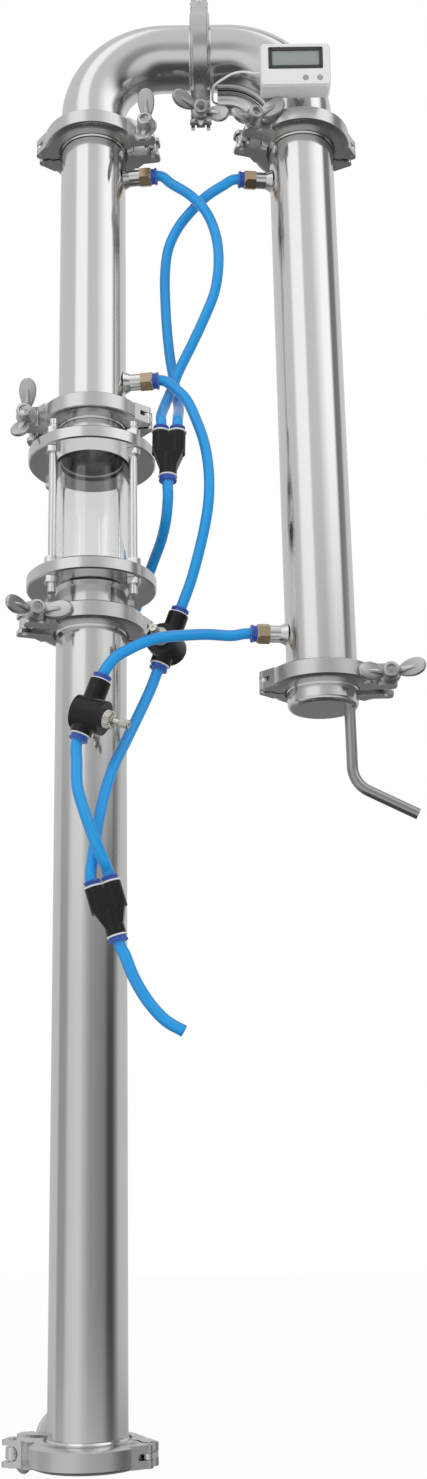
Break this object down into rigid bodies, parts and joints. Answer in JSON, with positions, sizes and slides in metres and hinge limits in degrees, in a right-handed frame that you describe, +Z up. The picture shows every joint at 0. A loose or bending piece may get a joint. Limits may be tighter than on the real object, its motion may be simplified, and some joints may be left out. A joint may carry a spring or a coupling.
{
  "type": "reflux still column",
  "caption": "Stainless reflux still head: riser, sight glass, water-cooled dephlegmator, bend with thermometer and a product condenser, clamped together, with its cooling hoses.",
  "frame": {"origin": "centre of the base ferrule's sealing face", "axes": "+Z up along the riser, +X from the column toward the condenser, the thermometer faces -Y"},
  "size_m": [0.2934, 0.1201, 1.1062],
  "materials": {
    "tube_steel": "polished",
    "clamp_steel": "satin",
    "bolt_steel": "polished",
    "glass": "clear",
    "gasket": "smooth",
    "brass": "satin",
    "collar_blue": "smooth",
    "hose_blue": "smooth",
    "fitting_black": "smooth",
    "screw_nickel": "satin",
    "case_white": "satin",
    "display": "gloss",
    "button_grey": "smooth",
    "lead_white": "smooth"
  },
  "bodies": {
    "column": {"riser_column": "tube_steel", "sight_lower_flange": "tube_steel", "sight_upper_flange": "tube_steel", "sight_glass": "glass", "sight_gaskets": "gasket", "tie_rods": "bolt_steel", "tie_rod_nuts": "bolt_steel", "dephlegmator": "tube_steel", "dephlegmator_core": "tube_steel", "left_elbow": "tube_steel", "right_elbow": "tube_steel", "condenser": "tube_steel", "condenser_core": "tube_steel", "end_cap": "tube_steel", "spout": "tube_steel", "joint_gaskets": "gasket", "base_clamp": "clamp_steel", "riser_clamp": "clamp_steel", "dephlegmator_clamp": "clamp_steel", "left_elbow_clamp": "clamp_steel", "centre_clamp": "clamp_steel", "right_elbow_clamp": "clamp_steel", "condenser_clamp": "clamp_steel", "swing_bolts": "bolt_steel", "wing_nuts": "clamp_steel", "hinge_links": "bolt_steel", "port_fittings": "brass", "port_collars": "collar_blue", "thermometer_case": "case_white", "thermometer_display": "display", "thermometer_buttons": "button_grey", "thermometer_stem": "bolt_steel", "probe_sleeve": "tube_steel", "probe_lead": "lead_white", "outlet_y_fitting": "fitting_black", "inlet_y_fitting": "fitting_black", "dephlegmator_valve": "fitting_black", "condenser_valve": "fitting_black", "hose_collars": "collar_blue", "dephlegmator_outlet_hose": "hose_blue", "condenser_outlet_hose": "hose_blue", "dephlegmator_inlet_hose": "hose_blue", "condenser_inlet_hose": "hose_blue", "dephlegmator_supply_hose": "hose_blue", "condenser_supply_hose": "hose_blue", "drain_hose": "hose_blue", "supply_hose": "hose_blue"},
    "dephlegmator_screw": {"dephlegmator_valve_screw": "screw_nickel"},
    "condenser_screw": {"condenser_valve_screw": "screw_nickel"}
  },
  "joints": [
    {"name": "dephlegmator_screw_turn", "type": "hinge", "parent": "column", "child": "dephlegmator_screw", "pos_m": [0.05101, -0.01636, 0.53168], "axis": [-0.2904, -0.9511, 0.1057], "range_deg": [-360, 360]},
    {"name": "condenser_screw_turn", "type": "hinge", "parent": "column", "child": "condenser_screw", "pos_m": [0.01309, -0.04736, 0.46301], "axis": [0.9077, -0.2588, -0.3304], "range_deg": [-360, 360]}
  ]
}
